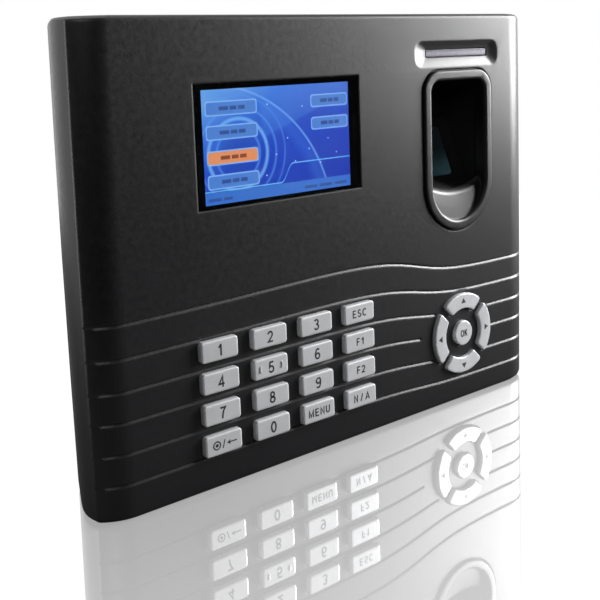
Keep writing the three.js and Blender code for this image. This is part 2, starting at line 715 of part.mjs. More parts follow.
function fingerGuide() {
  const skirt = BEZEL_WALL - GUIDE_WALL;
  const outer = common(stacked(wellOutline(skirt), [[GUIDE_FRONT, 0], [-8, 0]]), guideBlock(-40, GUIDE_WALL));
  const flange = stacked(wellOutline(1), [[GUIDE_FRONT, 0], [GUIDE_FRONT + 1.2, 0]]);
  const cavity = common(stacked(wellOutline(BEZEL_WALL), [[-39, 0], [-8, 0]]), guideBlock(-40, 0));
  const window = new THREE.BoxGeometry(SENSOR_WIDTH + 2 * GAP, 14, SENSOR_LENGTH + 2 * GAP);
  window.rotateX(-SENSOR_TILT).translate(SENSOR_CENTRE.x, SENSOR_CENTRE.y, SENSOR_CENTRE.z);
  return without(joined(outer, flange), cavity, window);
}

function sensorGlass() {
  const outline = roundedRectangle(SENSOR_WIDTH, SENSOR_LENGTH, 1, 2);
  return stacked(outline, [[2.6, 0], [0.4, 0], [0, 0.4]]);
}

function sensorModule() {
  const camera = new THREE.CylinderGeometry(4, 4, 2.4, 16).translate(0, 9.2, 0);
  return joined(box(-10, 10, 3, 8.5, -12, 12), camera);
}

// ---------------------------------------------------------------- inner parts

const SPEAKER = { x: 66, z: -64 };
const TAMPER = { x: 84, z: 20 };
const PORTS = [
  { name: 'terminal_block', x: -29, width: 38, y1: -6.5 },
  { name: 'usb_socket', x: 4, width: 14.4, y1: -9.4 },
  { name: 'network_socket', x: 28, width: 16, y1: -5.6 },
];

function portBody(port, length) {
  const half = port.width / 2;
  return box(port.x - half, port.x + half, MAIN_BOARD_BACK + GAP, port.y1, BAY_TOP, BAY_TOP + length);
}

function terminalBlock() {
  const port = PORTS[0];
  const body = portBody(port, 9);
  const ways = [0, 1, 2, 3, 4, 5, 6].map((i) => port.x - 15 + 5 * i);
  const entries = ways.map((x) => box(x - 1.3, x + 1.3, -13, -10, BAY_TOP - 1, BAY_TOP + 3));
  return without(body, ...entries);
}

function usbSocket() {
  const port = PORTS[1];
  const y0 = MAIN_BOARD_BACK + GAP;
  const room = box(port.x - 6.3, port.x + 6.3, y0 + 1, port.y1 - 1, BAY_TOP - 1, BAY_TOP + 11);
  return without(portBody(port, 14), room);
}

function networkSocket() {
  const port = PORTS[2];
  const y0 = MAIN_BOARD_BACK + GAP;
  const room = box(port.x - 6, port.x + 6, y0 + 1.6, port.y1 - 2.8, BAY_TOP - 1, BAY_TOP + 15);
  const latch = box(port.x - 3, port.x + 3, port.y1 - 3, port.y1 - 1, BAY_TOP - 1, BAY_TOP + 9);
  return without(portBody(port, 20), room, latch);
}

function mainBoard() {
  const sheet = box(-88, 36, MAIN_BOARD_FRONT, MAIN_BOARD_BACK, -21.5, 63);
  const chips = [
    box(-36, -16, MAIN_BOARD_FRONT - 1.6, MAIN_BOARD_FRONT + 0.4, 20, 40),
    box(-8, 6, MAIN_BOARD_FRONT - 1.2, MAIN_BOARD_FRONT + 0.4, 24, 34),
    box(-60, -46, MAIN_BOARD_FRONT - 3, MAIN_BOARD_FRONT + 0.4, 4, 12),
    box(12, 28, MAIN_BOARD_FRONT - 4, MAIN_BOARD_FRONT + 0.4, 44, 54),
  ];
  const hole = ([x, z]) => cylinderAlongY(1.7, MAIN_BOARD_FRONT - 1, MAIN_BOARD_BACK + 1, x, z, 10);
  const holes = BOARD_SCREWS.map(hole);
  return without(joined(sheet, ...chips), ...holes);
}

function keypadBoard() {
  const back = KEYPAD_BOARD_FRONT + BOARD_THICKNESS;
  const sheet = box(-68, 79, KEYPAD_BOARD_FRONT, back, -71.5, -24.5);
  const plug = box(20, 34, back - 0.3, back + 4, -60, -54);
  return joined(sheet, plug);
}

function lcdPanel() {
  const front = INNER_FRONT + GAP;
  const glass = box(LIT.x0 - 4.5, LIT.x1 + 6, front, front + 3.6, LIT.z0 - 5, LIT.z1 + 5);
  const tail = box(-40, -20, front + 3.3, front + 3.9, LIT.z0 - 4.8, LIT.z0 + 9);
  return joined(glass, tail);
}

function displayBracket() {
  const y0 = INNER_FRONT + GAP + 4.2;
  const sheet = box(LIT.x0 - 7, LIT.x1 + 8, y0, y0 + 1, LIT.z0 - 7, LIT.z1 + 7);
  return without(sheet, box(LIT.x0 + 8, LIT.x1 - 8, y0 - 1, y0 + 2, LIT.z0 + 6, LIT.z1 - 6));
}

function lightGuide() {
  const front = FRONT + RECESS_DEPTH;
  const strip = roundedRectangle(STRIP.width, STRIP.height, 0.5, 2, STRIP.x, STRIP.z);
  return stacked(strip, [[front + 4.4, 0], [front + 0.1, 0], [front, 0.15]]);
}

function indicatorBoard() {
  const front = FRONT + RECESS_DEPTH + 4.8;
  return box(STRIP.x - 20, STRIP.x + 18, front, front + 1.2, 58.6, 67);
}

function speaker() {
  const rim = cylinderAlongY(9.5, -7, -4.9, SPEAKER.x, SPEAKER.z, 24);
  const magnet = cylinderAlongY(6, -10.5, -6.5, SPEAKER.x, SPEAKER.z, 20);
  return joined(rim, magnet);
}

function backupBattery() {
  const outline = roundedRectangle(44, 34, 2, 2, -50, 30);
  return stacked(outline, [[-16.6, 0], [-5.4, 0]]);
}

function tamperSwitch() {
  const body = box(TAMPER.x - 5, TAMPER.x + 5, -12, -6, TAMPER.z - 3.2, TAMPER.z + 3.2);
  return without(body, cylinderAlongY(1.9, -10, -5, TAMPER.x, TAMPER.z, 12));
}

function tamperPlunger() {
  const outline = (inset) => arc(0, 0, 1.4 - inset, 0, 2 * Math.PI, 12).slice(0, -1);
  return stacked(outline, [[-6.6, 0], [-0.4, 0], [0, 0.4]]);
}

// A pan-head screw with its head's outer face at the origin and its shank towards -Y.
function screwBlank(headRadius, headHeight, shankRadius, length) {
  const profile = [
    new THREE.Vector2(0, -length),
    new THREE.Vector2(shankRadius * 0.5, -length),
    new THREE.Vector2(shankRadius, -length + 1),
    new THREE.Vector2(shankRadius, -headHeight),
    new THREE.Vector2(headRadius, -headHeight),
    new THREE.Vector2(headRadius, -0.4),
    new THREE.Vector2(headRadius - 0.5, 0),
    new THREE.Vector2(0, 0),
  ];
  return new THREE.LatheGeometry(profile, 12);
}

function crossScrew(headRadius, headHeight, shankRadius, length) {
  const blank = screwBlank(headRadius, headHeight, shankRadius, length);
  const reach = headRadius * 0.6;
  return without(blank, box(-reach, reach, -0.9, 1, -0.3, 0.3), box(-0.3, 0.3, -0.9, 1, -reach, reach));
}

// ---------------------------------------------------------------- assembly

const finish = {
  charcoal: { color: 0x1d1e22, roughness: 0.55, metalness: 0 },
  glossBlack: { color: 0x0c0c0e, roughness: 0.15, metalness: 0 },
  black: { color: 0x141416, roughness: 0.7, metalness: 0 },
  silver: { color: 0xb4b6bb, roughness: 0.4, metalness: 0.1 },
  steel: { color: 0xc4c6c8, roughness: 0.35, metalness: 0.9 },
  screwSteel: { color: 0x9a9da1, roughness: 0.3, metalness: 0.9 },
  lens: { color: 0x223040, roughness: 0.05, metalness: 0 },
  lcd: { color: 0x2a5cc8, roughness: 0.3, metalness: 0 },
  sensor: { color: 0x3c5c66, roughness: 0.05, metalness: 0 },
  lightGuide: { color: 0x8c8a9a, roughness: 0.3, metalness: 0 },
  circuit: { color: 0x1f5a38, roughness: 0.6, metalness: 0 },
  rubber: { color: 0x3a3a3c, roughness: 0.9, metalness: 0 },
  green: { color: 0x2f7d4c, roughness: 0.5, metalness: 0 },
  battery: { color: 0x3d5f8c, roughness: 0.5, metalness: 0 },
};

function piece(name, geometry, look, parent, position) {
  const mesh = new THREE.Mesh(geometry, new THREE.MeshStandardMaterial(look));
  mesh.name = name;
  if (position) {
    mesh.position.set(...position);
  }
  parent.add(mesh);
  return mesh;
}

const terminal = new THREE.Group();

piece('front_cover', frontCover(), finish.charcoal, terminal);
piece('rear_case', rearCase(), finish.charcoal, terminal);
piece('wall_plate', wallPlate(), finish.steel, terminal);

const lensArea = { x0: WINDOW.x0 + GAP, x1: WINDOW.x1 - GAP, z0: WINDOW.z0 + GAP, z1: WINDOW.z1 - GAP };
piece('display_lens', rectangleCutter(lensArea, FRONT + 0.1, FRONT + LENS_THICKNESS), finish.lens, terminal);
piece('lcd_panel', lcdPanel(), finish.lcd, terminal);
piece('display_bracket', displayBracket(), finish.steel, terminal);

piece('fingerprint_bezel', fingerprintBezel(), finish.charcoal, terminal);
piece('finger_guide', fingerGuide(), finish.black, terminal);
const sensor = new THREE.Group();
sensor.position.copy(SENSOR_CENTRE);
sensor.rotation.x = -SENSOR_TILT;
terminal.add(sensor);
piece('sensor_glass', sensorGlass(), finish.sensor, sensor);
piece('sensor_module', sensorModule(), finish.black, sensor);

piece('indicator_light_guide', lightGuide(), finish.lightGuide, terminal);
piece('indicator_board', indicatorBoard(), finish.circuit, terminal);

const keypad = new THREE.Group();
keypad.position.y = FRONT - KEY_PROUD;
terminal.add(keypad);
const keyDomes = [];
KEY_ROWS.forEach((z, row) => {
  KEY_COLUMNS.forEach((x, column) => {
    piece(KEY_NAMES[row][column], keyCap(), finish.silver, keypad, [x, 0, z]);
    keyDomes.push([x, z]);
  });
});

const navigation = new THREE.Group();
navigation.position.set(NAV_X, FRONT - NAV_PROUD, NAV_Z);
terminal.add(navigation);
NAV_NAMES.forEach((name, i) => piece(name, navButton(i), finish.silver, navigation));
piece('nav_ok', okButton(), finish.silver, navigation);

const navReach = (NAV_OUTER + NAV_INNER) / 2;
const navDomes = [0, 1, 2, 3].map((i) => turned(navReach, 0, i).map((v, k) => v + [NAV_X, NAV_Z][k]));
piece('keypad_mat', domeMat(-66.5, 14.5, -69, -26, keyDomes), finish.rubber, terminal);
piece('nav_mat', domeMat(NAV_X - 18, NAV_X + 18, NAV_Z - 18, NAV_Z + 18, [...navDomes, [NAV_X, NAV_Z]]),
  finish.rubber, terminal);
piece('keypad_board', keypadBoard(), finish.circuit, terminal);
piece('main_board', mainBoard(), finish.circuit, terminal);

piece('terminal_block', terminalBlock(), finish.green, terminal);
piece('usb_socket', usbSocket(), finish.steel, terminal);
piece('network_socket', networkSocket(), finish.steel, terminal);
piece('speaker', speaker(), finish.black, terminal);
piece('backup_battery', backupBattery(), finish.battery, terminal);
piece('tamper_switch', tamperSwitch(), finish.black, terminal);
piece('tamper_plunger', tamperPlunger(), finish.glossBlack, terminal,
  [TAMPER.x, -PLATE_THICKNESS - GAP, TAMPER.z]);

CASE_SCREWS.forEach(([x, z], i) => {
  piece(`case_screw_${i + 1}`, crossScrew(2.8, 1.8, 1.2, 14), finish.screwSteel, terminal, [x, -2.9, z]);
});
BOARD_SCREWS.forEach(([x, z], i) => {
  const blank = geometryOf(solidOf(screwBlank(2.4, 1.4, 1.1, 8)));
  const place = [x, MAIN_BOARD_FRONT - 1.8, z];
  const mesh = piece(`board_screw_${i + 1}`, blank, finish.screwSteel, terminal, place);
  mesh.rotation.x = Math.PI;
});
const lockScrew = piece('plate_lock_screw', crossScrew(2.8, 1.8, 1.2, 8), finish.screwSteel, terminal,
  [0, -12, PLATE_BOTTOM - GAP - 1.8]);
lockScrew.rotation.x = -Math.PI / 2;

export default terminal;
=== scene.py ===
"""Looks of the fingerprint scanner terminal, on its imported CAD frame. Metres, +Z up, front towards -Y."""

import json
import math

import bpy
from mathutils import Matrix, Vector

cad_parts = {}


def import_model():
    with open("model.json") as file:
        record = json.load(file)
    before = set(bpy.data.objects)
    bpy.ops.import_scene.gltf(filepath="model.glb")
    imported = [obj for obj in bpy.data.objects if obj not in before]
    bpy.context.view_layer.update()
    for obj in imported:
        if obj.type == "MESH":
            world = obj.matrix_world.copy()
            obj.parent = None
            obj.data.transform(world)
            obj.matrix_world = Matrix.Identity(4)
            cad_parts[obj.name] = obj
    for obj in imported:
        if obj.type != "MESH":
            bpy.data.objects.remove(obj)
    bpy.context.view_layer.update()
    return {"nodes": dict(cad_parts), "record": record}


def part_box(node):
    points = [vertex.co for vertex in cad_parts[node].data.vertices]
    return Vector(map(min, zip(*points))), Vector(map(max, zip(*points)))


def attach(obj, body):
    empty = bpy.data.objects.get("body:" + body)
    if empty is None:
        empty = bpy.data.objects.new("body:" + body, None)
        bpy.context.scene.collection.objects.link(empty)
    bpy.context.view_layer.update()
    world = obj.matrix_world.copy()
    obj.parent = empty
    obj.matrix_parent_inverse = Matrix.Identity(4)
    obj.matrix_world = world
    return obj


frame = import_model()
nodes = frame["nodes"]

MM = 0.001

# ---------------------------------------------------------------- numbers of the design, in millimetres

GLASS_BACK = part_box("display_lens")[1].y / MM
FLOOR_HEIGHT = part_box("front_cover")[0].z / MM

PICTURE = {"x0": -58.8, "x1": 2.9, "z0": 16.3, "z1": 53.5}

# Depths behind the back of the lens: the mask, the picture, and the thin lit layers before the picture.
MASK_DEPTH = (0.02, 0.09)
PICTURE_DEPTH = (0.12, 0.32)
LAYER = {"first": 0.10, "step": 0.012, "line": 0.075, "thick": 0.006}

KEY_WORDS = {
    "key_1": "1", "key_2": "2", "key_3": "3", "key_4": "4", "key_5": "5",
    "key_6": "6", "key_7": "7", "key_8": "8", "key_9": "9", "key_0": "0",
    "key_esc": "ESC", "key_f1": "F1", "key_f2": "F2", "key_na": "N / A", "key_menu": "MENU",
}
DIGIT = {"height": 3.9, "stroke": 0.62, "gap": 0.7, "wide": 1.08}
WORD = {"height": 2.7, "stroke": 0.48, "gap": 0.62, "wide": 1.16}
OK_MARK = {"height": 2.7, "stroke": 0.55, "gap": 0.35, "wide": 0.95}
INK_THICKNESS = 0.03
INK_GAP = 0.002

NAV_NAMES = ("nav_right", "nav_up", "nav_left", "nav_down")
NAV_MARK_REACH = 13.4
NAV_MARK = ((1.2, 0.0), (-0.9, 1.3), (-0.9, -1.3))

RIB = {"offset": 2.6, "outer": 2.25, "inner": 1.75, "half_turn": 32, "proud": 0.22, "bevel": 0.1}

GUIDE_CORE_HEIGHT = 62.1
BATTERY_BAND_HEIGHT = 41.0
# Heights of the sensor glass's painted light, top then bottom: painted shade above the first, a painted teal
# glow below the second.
SENSOR_PAINTED_SHADE = (24, 12)

LENS_MASK_MARGIN = 0.05
SMOOTH_LIMIT = math.radians(26)
WELD_GAP = 0.002

CAMERA = {"place": (-217.8, -290.7, 64.0), "yaw": 37.946, "pitch": 7.321, "roll": -2.017,
          "lens": 56.31, "shift_y": -0.21}
FLOOR = {"centre": (100, 170), "radius": 420, "steps": 96}

# The floor's gloss, in metres. Its share rises between the two front places, up to the object. At each
# other side it fades in from the first place to the second.
GLOSS = {"front": (-0.33, -0.02), "share": (0.12, 0.62), "back": (0.03, 0.0),
         "left": (-0.28, -0.17), "right": (0.15, 0.108)}

# The world's strength against the Y of the direction, from dark in front to white behind.
WORLD = {"From Min": -0.25, "From Max": 0.35, "To Min": 0.008, "To Max": 1.0}

# Rectangular lights: place, target, width, height and power.
LIGHTS = {
    "softbox_right": ((700, -280, 240), (40, -30, 20), 330, 500, 17.5),
    "strip_left": ((-640, 60, 90), (-100, -30, 0), 160, 500, 1.6),
    "softbox_left": ((-420, -620, 420), (-20, -30, 0), 300, 300, 0.9),
    "softbox_top": ((0, 60, 760), (0, 0, 0), 700, 700, 1.5),
}


# ---------------------------------------------------------------- node helper


class Surface:
    """One material and the few node steps that all of them are made from."""

    def __init__(self, name):
        self.material = bpy.data.materials.new(name)
        self.material.use_nodes = True
        self.tree = self.material.node_tree
        self.shader = self.tree.nodes["Principled BSDF"]
        self.place = self.add("ShaderNodeTexCoord").outputs["Object"]

    def add(self, kind, **settings):
        node = self.tree.nodes.new(kind)
        for key, value in settings.items():
            setattr(node, key, value)
        return node

    def plug(self, value, socket):
        if isinstance(value, bpy.types.NodeSocket):
            self.tree.links.new(value, socket)
        elif isinstance(value, (tuple, list)) and len(value) == 3 and len(socket.default_value) == 4:
            socket.default_value = (*value, 1)
        else:
            socket.default_value = value

    def set(self, **inputs):
        for name, value in inputs.items():
            self.plug(value, self.shader.inputs[name.replace("_", " ")])

    def scaled(self, vector, scale):
        node = self.add("ShaderNodeMapping")
        self.plug(vector, node.inputs["Vector"])
        node.inputs["Scale"].default_value = scale
        return node.outputs["Vector"]

    def noise(self, scale, detail=2.0, rough=0.5, vector=None):
        node = self.add("ShaderNodeTexNoise")
        self.plug(vector or self.place, node.inputs["Vector"])
        node.inputs["Scale"].default_value = scale
        node.inputs["Detail"].default_value = detail
        node.inputs["Roughness"].default_value = rough
        return node.outputs["Fac"]

    def cells(self, scale):
        node = self.add("ShaderNodeTexVoronoi")
        self.plug(self.place, node.inputs["Vector"])
        node.inputs["Scale"].default_value = scale
        return node.outputs["Distance"]

    def ramp(self, value, *stops):
        node = self.add("ShaderNodeValToRGB")
        self.plug(value, node.inputs["Fac"])
        elements = node.color_ramp.elements
        while len(elements) < len(stops):
            elements.new(0.5)
        for element, (position, colour) in zip(elements, stops):
            element.position = position
            element.color = (*colour, 1)
        return node.outputs["Color"]

    def span(self, value, start, end, low=0.0, high=1.0, smooth=False):
        node = self.add("ShaderNodeMapRange", interpolation_type="SMOOTHSTEP" if smooth else "LINEAR")
        self.plug(value, node.inputs["Value"])
        for name, number in (("From Min", start), ("From Max", end), ("To Min", low), ("To Max", high)):
            node.inputs[name].default_value = number
        return node.outputs["Result"]

    def mix(self, share, first, second, blend="MIX"):
        node = self.add("ShaderNodeMix", data_type="RGBA", blend_type=blend)
        self.plug(share, node.inputs["Factor"])
        self.plug(first, node.inputs[6])
        self.plug(second, node.inputs[7])
        return node.outputs[2]

    def math(self, operation, first, second=0.0, third=0.0):
        node = self.add("ShaderNodeMath", operation=operation)
        for socket, value in zip(node.inputs, (first, second, third)):
            self.plug(value, socket)
        return node.outputs[0]

    def split(self, vector=None):
        node = self.add("ShaderNodeSeparateXYZ")
        self.plug(vector or self.place, node.inputs["Vector"])
        return node.outputs

    def bump(self, height, distance, strength=1.0, normal=None):
        node = self.add("ShaderNodeBump")
        self.plug(height, node.inputs["Height"])
        node.inputs["Distance"].default_value = distance
        node.inputs["Strength"].default_value = strength
        if normal is not None:
            self.plug(normal, node.inputs["Normal"])
        return node.outputs["Normal"]

    def rounded(self, radius):
        node = self.add("ShaderNodeBevel", samples=6)
        node.inputs["Radius"].default_value = radius
        return node.outputs["Normal"]

    def edges(self, radius):
        """1 on an edge, falling to 0 on the flat."""
        across = self.add("ShaderNodeVectorMath", operation="DOT_PRODUCT")
        self.plug(self.rounded(radius), across.inputs[0])
        self.plug(self.add("ShaderNodeNewGeometry").outputs["Normal"], across.inputs[1])
        return self.span(across.outputs["Value"], 0.995, 0.9)


# ---------------------------------------------------------------- materials


def charcoal_plastic():
    """Moulded plastic with a fine spark-eroded grain, near black."""
    s = Surface("charcoal_plastic")
    grain = s.noise(2300, detail=3, rough=0.6)
    cloud = s.noise(45, detail=3)
    body = s.ramp(cloud, (0.3, (0.0045, 0.0046, 0.0058)), (0.7, (0.0066, 0.0067, 0.0080)))
    speck = s.span(grain, 0.62, 0.78)
    tone = s.mix(s.math("MULTIPLY", speck, 0.5), body, (0.012, 0.012, 0.0145))
    edge = s.edges(0.0009)
    worn = s.mix(s.math("MULTIPLY", edge, 0.4), tone, (0.022, 0.022, 0.025))
    matt = s.math("MULTIPLY", edge, 0.42)
    rough = s.span(s.noise(500, detail=2), 0.2, 0.8, 0.32, 0.41)
    s.set(Base_Color=worn, Roughness=s.math("ADD", matt, rough))
    s.set(Normal=s.bump(grain, 0.00005, 0.7, s.rounded(0.0009)))
    s.shader.inputs["Specular IOR Level"].default_value = 0.5
    return s.material


def inner_black():
    """Plain black plastic of the hidden and inner faces."""
    s = Surface("inner_black_plastic")
    grain = s.noise(1500, detail=3)
    tone = s.ramp(s.noise(60), (0.3, (0.006, 0.006, 0.007)), (0.7, (0.012, 0.012, 0.013)))
    s.set(Base_Color=tone, Roughness=s.span(grain, 0.2, 0.8, 0.42, 0.62))
    s.set(Normal=s.bump(grain, 0.00004, 0.6))
    return s.material


def gloss_black():
    """Polished black print or plastic."""
    s = Surface("gloss_black_plastic")
    tone = s.ramp(s.noise(80), (0.3, (0.004, 0.004, 0.005)), (0.7, (0.007, 0.007, 0.008)))
    s.set(Base_Color=tone, Roughness=s.span(s.noise(260, detail=3), 0.3, 0.8, 0.07, 0.16))
    s.set(Normal=s.bump(s.noise(120), 0.00003, 0.3))
    return s.material


def key_silver():
    """Silver lacquer over plastic: fine flakes, and a colour a little lighter at the edges."""
    s = Surface("key_silver_lacquer")
    flakes = s.cells(5200)
    cloud = s.noise(160, detail=3)
    tone = s.ramp(cloud, (0.25, (0.50, 0.505, 0.52)), (0.75, (0.58, 0.585, 0.60)))
    glint = s.mix(s.span(flakes, 0.30, 0.05, 0.0, 0.5), tone, (0.80, 0.81, 0.83))
    # The colour is made lighter towards every edge.
    edge_lighter = s.mix(s.math("MULTIPLY", s.edges(0.00035), 0.35), glint, (0.85, 0.86, 0.88))
    s.set(Base_Color=edge_lighter, Metallic=0.2)
    s.set(Roughness=s.span(s.noise(900, detail=2), 0.2, 0.8, 0.30, 0.42))
    s.set(Normal=s.bump(flakes, 0.00002, 0.35, s.rounded(0.00025)))
    return s.material


def legend_ink():
    """Matt black pad print."""
    s = Surface("legend_ink")
    tone = s.ramp(s.noise(1800), (0.3, (0.010, 0.010, 0.014)), (0.7, (0.020, 0.020, 0.026)))
    s.set(Base_Color=tone, Roughness=s.span(s.noise(2600), 0.2, 0.8, 0.5, 0.7))
    s.set(Normal=s.bump(s.noise(3200), 0.00001, 0.5))
    return s.material


def plated_steel(name, low, high, stretch, rough=(0.24, 0.42)):
    """Zinc-plated sheet: fine rolling lines, soft cloudy spangle."""
    s = Surface(name)
    lines = s.noise(700, detail=3, vector=s.scaled(s.place, stretch))
    spangle = s.cells(140)
    tone = s.ramp(s.math("ADD", s.math("MULTIPLY", lines, 0.6), s.math("MULTIPLY", spangle, 0.4)),
                  (0.25, low), (0.7, high))
    s.set(Base_Color=tone, Metallic=1.0)
    s.set(Roughness=s.span(lines, 0.25, 0.75, *rough))
    s.set(Normal=s.bump(lines, 0.00003, 0.5))
    return s.material


def clear_lens():
    """Clear acrylic over the display."""
    s = Surface("clear_lens")
    s.set(Base_Color=(1, 1, 1), Transmission_Weight=1.0, IOR=1.35)
    s.set(Roughness=s.span(s.noise(70), 0.3, 0.8, 0.0, 0.02))
    return s.material


def sensor_glass():
    """Prism face of the fingerprint reader, with a faint film of skin marks, and painted light: a teal glow
    low on the glass that fades upward into painted shade, and that glows though the glass is no lamp.
    """
    s = Surface("sensor_prism_glass")
    smear = s.noise(420, detail=4, vector=s.scaled(s.place, (1.0, 1.0, 0.35)))
    painted_glow = s.ramp(s.noise(90), (0.3, (0.010, 0.032, 0.040)), (0.7, (0.030, 0.070, 0.080)))
    # Painted shade: dark on the upper glass, fading between the two heights into a painted teal glow on the
    # lower glass.
    low = s.span(s.split()[2], SENSOR_PAINTED_SHADE[0] * MM, SENSOR_PAINTED_SHADE[1] * MM, smooth=True)
    tone = s.mix(low, (0.004, 0.007, 0.009), painted_glow)
    s.set(Base_Color=tone, Roughness=s.span(smear, 0.35, 0.75, 0.06, 0.24))
    # The painted colour glows as well, though the glass is no lamp.
    s.set(Coat_Weight=0.3, Emission_Color=tone)
    s.shader.inputs["Emission Strength"].default_value = 0.4
    s.set(Normal=s.bump(smear, 0.00001, 0.3))
    return s.material


def light_guide():
    """Frosted smoky bar with a slightly brighter core."""
    s = Surface("smoked_light_guide")
    height = s.split()[2]
    off_core = s.math("ABSOLUTE", s.math("SUBTRACT", height, GUIDE_CORE_HEIGHT * MM))
    core = s.span(off_core, 0.0013, 0.0002, smooth=True)
    frost = s.noise(1500, detail=3)
    dark = s.ramp(frost, (0.3, (0.075, 0.072, 0.095)), (0.7, (0.12, 0.115, 0.145)))
    tone = s.mix(s.math("MULTIPLY", core, 0.75), dark, (0.26, 0.25, 0.31))
    s.set(Base_Color=tone, Roughness=s.span(frost, 0.2, 0.8, 0.18, 0.34), Coat_Weight=0.5)
    s.set(Normal=s.bump(frost, 0.00002, 0.4))
    return s.material


def circuit_board():
    """Green solder mask with faint copper runs."""
    s = Surface("circuit_board")
    runs = s.add("ShaderNodeTexWave", bands_direction="X")
    s.plug(s.place, runs.inputs["Vector"])
    runs.inputs["Scale"].default_value = 260
    runs.inputs["Distortion"].default_value = 2.5
    tracks = s.span(runs.outputs["Fac"], 0.62, 0.72)
    region = s.span(s.noise(70), 0.48, 0.54)
    mask = s.ramp(s.noise(400), (0.3, (0.010, 0.060, 0.028)), (0.7, (0.016, 0.090, 0.042)))
    tone = s.mix(s.math("MULTIPLY", tracks, s.math("MULTIPLY", region, 0.6)), mask, (0.05, 0.17, 0.07))
    s.set(Base_Color=tone, Roughness=s.span(s.noise(900), 0.2, 0.8, 0.3, 0.45))
    s.set(Normal=s.bump(tracks, 0.00003, 0.5))
    return s.material


def speckled(name, low, high, scale, rough, depth):
    """A plain moulded or rubbery finish with grain at its own scale."""
    s = Surface(name)
    grain = s.noise(scale, detail=3)
    s.set(Base_Color=s.ramp(s.noise(scale / 12), (0.3, low), (0.7, high)))
    s.set(Roughness=s.span(grain, 0.2, 0.8, *rough), Normal=s.bump(grain, depth, 0.7))
    return s.material


def battery_wrap():
    """Blue shrink film with one pale band round it."""
    s = Surface("battery_wrap")
    height = s.split()[2]
    off_band = s.math("ABSOLUTE", s.math("SUBTRACT", height, BATTERY_BAND_HEIGHT * MM))
    band = s.span(off_band, 0.0022, 0.0018)
    film = s.ramp(s.noise(160), (0.3, (0.035, 0.085, 0.22)), (0.7, (0.055, 0.12, 0.29)))
    tone = s.mix(band, film, (0.55, 0.56, 0.58))
    s.set(Base_Color=tone, Roughness=s.span(s.noise(300), 0.2, 0.8, 0.16, 0.34))
    s.set(Normal=s.bump(s.noise(130, detail=3), 0.0001, 0.4))
    return s.material


def screen_blue():
    """The lit picture: a blue gradient with sweeping arcs, drawn from the picture's own place."""
    s = Surface("lit_screen")
    x, _, z = s.split()
    width = (PICTURE["x1"] - PICTURE["x0"]) * MM
    height = (PICTURE["z1"] - PICTURE["z0"]) * MM
    u = s.span(x, PICTURE["x0"] * MM, PICTURE["x1"] * MM)
    v = s.span(z, PICTURE["z1"] * MM, PICTURE["z0"] * MM)
    slant = s.math("ADD", s.math("MULTIPLY", u, 0.45), s.math("MULTIPLY", v, 0.6))
    sky = s.ramp(slant, (0.0, (0.17, 0.44, 0.84)), (0.24, (0.030, 0.15, 0.68)),
                 (0.50, (0.008, 0.060, 0.54)), (1.0, (0.006, 0.034, 0.42)))

    def distance(cu, cv):
        du = s.math("SUBTRACT", u, cu)
        dv = s.math("MULTIPLY", s.math("SUBTRACT", v, cv), height / width)
        return s.math("SQRT", s.math("ADD", s.math("MULTIPLY", du, du), s.math("MULTIPLY", dv, dv)))

    def ring(reach, radius, soft):
        return s.span(s.math("ABSOLUTE", s.math("SUBTRACT", reach, radius)), soft, 0.0, smooth=True)

    globe = distance(0.22, 0.58)
    sweep = distance(0.02, 1.35)
    picture = sky
    layers = (
        (s.span(globe, 0.17, 0.06, smooth=True), 0.6, (0.012, 0.060, 0.42)),
        (ring(globe, 0.19, 0.018), 0.60, (0.22, 0.56, 0.95)),
        (ring(globe, 0.14, 0.012), 0.35, (0.16, 0.48, 0.92)),
        (ring(globe, 0.25, 0.012), 0.35, (0.14, 0.42, 0.90)),
        (ring(globe, 0.31, 0.010), 0.30, (0.12, 0.38, 0.88)),
        (ring(sweep, 0.84, 0.010), 0.50, (0.26, 0.58, 0.95)),
        (ring(sweep, 0.80, 0.07), 0.30, (0.03, 0.17, 0.72)),
    )
    for mask, share, colour in layers:
        picture = s.mix(s.math("MULTIPLY", mask, share), picture, colour)
    edge = s.math("SUBTRACT", v, s.math("SUBTRACT", 0.68, s.math("MULTIPLY", u, 0.58)))
    upper = s.math("MULTIPLY", s.span(edge, 0.006, -0.006), s.span(u, 0.37, 0.39))
    picture = s.mix(s.math("MULTIPLY", upper, 0.12), picture, (0.12, 0.36, 0.88))
    wave = s.add("ShaderNodeTexWave", bands_direction="Z")
    s.plug(s.place, wave.inputs["Vector"])
    wave.inputs["Scale"].default_value = 900
    wave.inputs["Distortion"].default_value = 6
    wave.inputs["Detail"].default_value = 1
    region = s.math("MULTIPLY", s.span(u, 0.4, 0.9), s.span(v, 0.5, 0.0))
    picture = s.mix(s.math("MULTIPLY", s.math("MULTIPLY", wave.outputs["Fac"], region), 0.22), picture,
                    (0.30, 0.58, 0.92))
    s.set(Base_Color=(0.01, 0.01, 0.012), Roughness=s.span(s.noise(600), 0.2, 0.8, 0.3, 0.4))
    s.set(Emission_Color=picture)
    s.shader.inputs["Emission Strength"].default_value = 1.0
    return s.material


def screen_tint(name, top, bottom):
    """A lit patch on the screen, shaded from its top to its bottom edge."""
    s = Surface(name)
    fade = s.span(s.split(s.add("ShaderNodeTexCoord").outputs["Generated"])[2], 0.0, 1.0)
    between = tuple((a + b) / 2 for a, b in zip(top, bottom))
    tone = s.ramp(fade, (0.0, bottom), (0.5, between), (1.0, top))
    s.set(Base_Color=(0.01, 0.01, 0.012), Emission_Color=tone, Roughness=0.4)
    s.shader.inputs["Emission Strength"].default_value = 1.0
    return s.material


